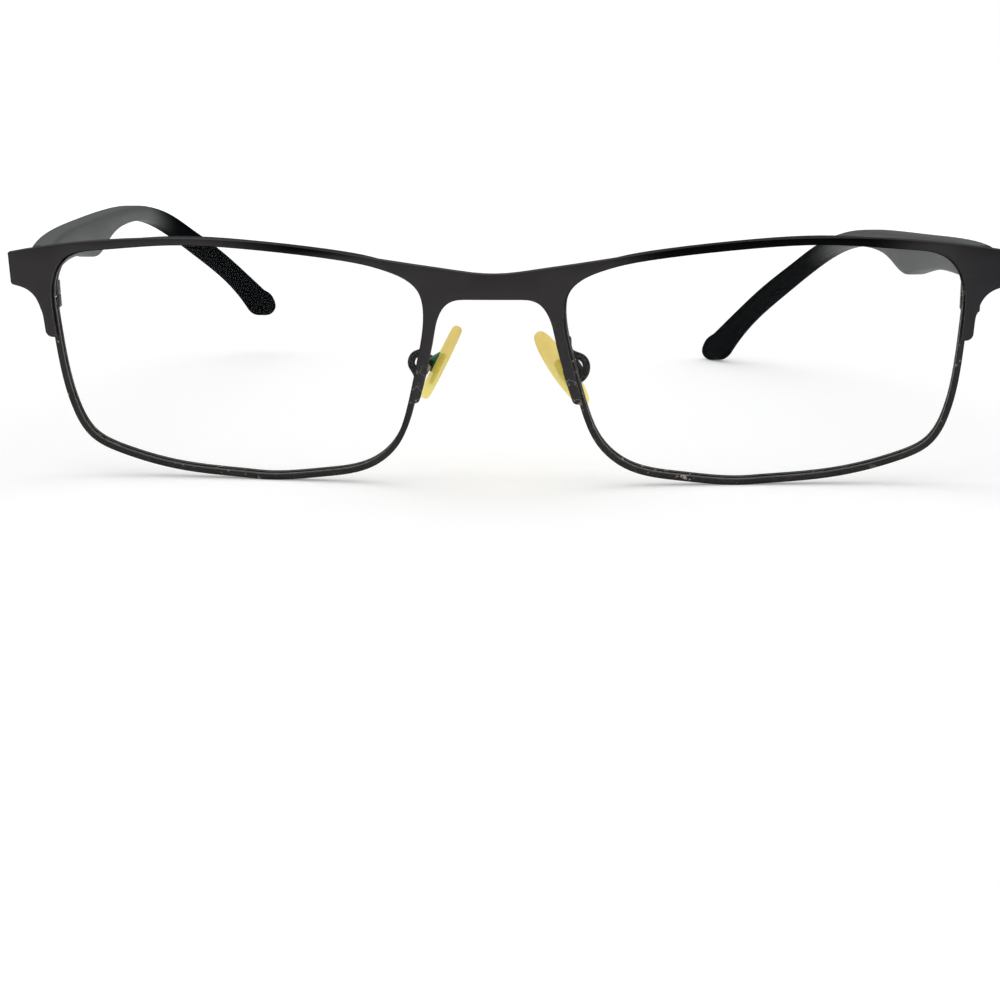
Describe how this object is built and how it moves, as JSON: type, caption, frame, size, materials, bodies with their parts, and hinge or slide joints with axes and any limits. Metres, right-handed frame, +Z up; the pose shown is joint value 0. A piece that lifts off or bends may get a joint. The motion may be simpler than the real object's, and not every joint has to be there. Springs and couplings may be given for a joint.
{
  "type": "rectangular eyeglasses",
  "caption": "Rectangular eyeglasses: curved metal front with thin lower rims, clear lenses, rocking nose pads on wire arms and folding, bowed plastic temples.",
  "frame": {"origin": "on the table, below the middle of the bridge and level with the front of the rims", "axes": "+X to the right as seen from the front, +Y back along the temples, +Z up"},
  "size_m": [0.1464, 0.1521, 0.035],
  "materials": {
    "plate_coat": "satin dark gunmetal coat, worn at the edges",
    "rim_coat": "satin grey coat with bare flecks",
    "lens_clear": "polished and clear",
    "arm_black": "glossy black coat",
    "hinge_steel": "dull grey steel",
    "screw_steel": "bright steel",
    "temple_plastic": "semi-matte black",
    "pad_silicone": "soft, yellowed and see-through",
    "insert_green": "tarnished green"
  },
  "bodies": {
    "front": {"front_plate": "plate_coat", "left_rim": "rim_coat", "left_lens": "lens_clear", "left_rim_lock_upper": "rim_coat", "left_rim_lock_lower": "rim_coat", "left_rim_lock_screw": "screw_steel", "left_endpiece": "plate_coat", "left_front_hinge": "hinge_steel", "left_hinge_screw": "screw_steel", "left_pad_arm": "arm_black", "left_pad_box": "arm_black", "left_pad_screw": "screw_steel", "right_rim": "rim_coat", "right_lens": "lens_clear", "right_rim_lock_upper": "rim_coat", "right_rim_lock_lower": "rim_coat", "right_rim_lock_screw": "screw_steel", "right_endpiece": "plate_coat", "right_front_hinge": "hinge_steel", "right_hinge_screw": "screw_steel", "right_pad_arm": "arm_black", "right_pad_box": "arm_black", "right_pad_screw": "screw_steel"},
    "left_temple": {"left_temple": "temple_plastic", "left_temple_hinge": "hinge_steel"},
    "left_pad": {"left_nose_pad": "pad_silicone", "left_pad_insert": "insert_green"},
    "right_temple": {"right_temple": "temple_plastic", "right_temple_hinge": "hinge_steel"},
    "right_pad": {"right_nose_pad": "pad_silicone", "right_pad_insert": "insert_green"}
  },
  "joints": [
    {"name": "left_temple_fold", "type": "hinge", "parent": "front", "child": "left_temple", "pos_m": [-0.0663, 0.0064, 0.031], "axis": [0, 0.0401, -0.9992], "range_deg": [0, 89]},
    {"name": "right_temple_fold", "type": "hinge", "parent": "front", "child": "right_temple", "pos_m": [0.0663, 0.0064, 0.031], "axis": [0, 0.0209, 0.9998], "range_deg": [-14.6, 62]},
    {"name": "left_pad_rock", "type": "hinge", "parent": "front", "child": "left_pad", "pos_m": [-0.01028, 0.00474, 0.01666], "axis": [0.0434, 0.9461, 0.3208], "range_deg": [-8, 8]},
    {"name": "right_pad_rock", "type": "hinge", "parent": "front", "child": "right_pad", "pos_m": [0.01045, 0.00462, 0.01605], "axis": [0.185, 0.981, 0.0588], "range_deg": [-8, 8]}
  ]
}
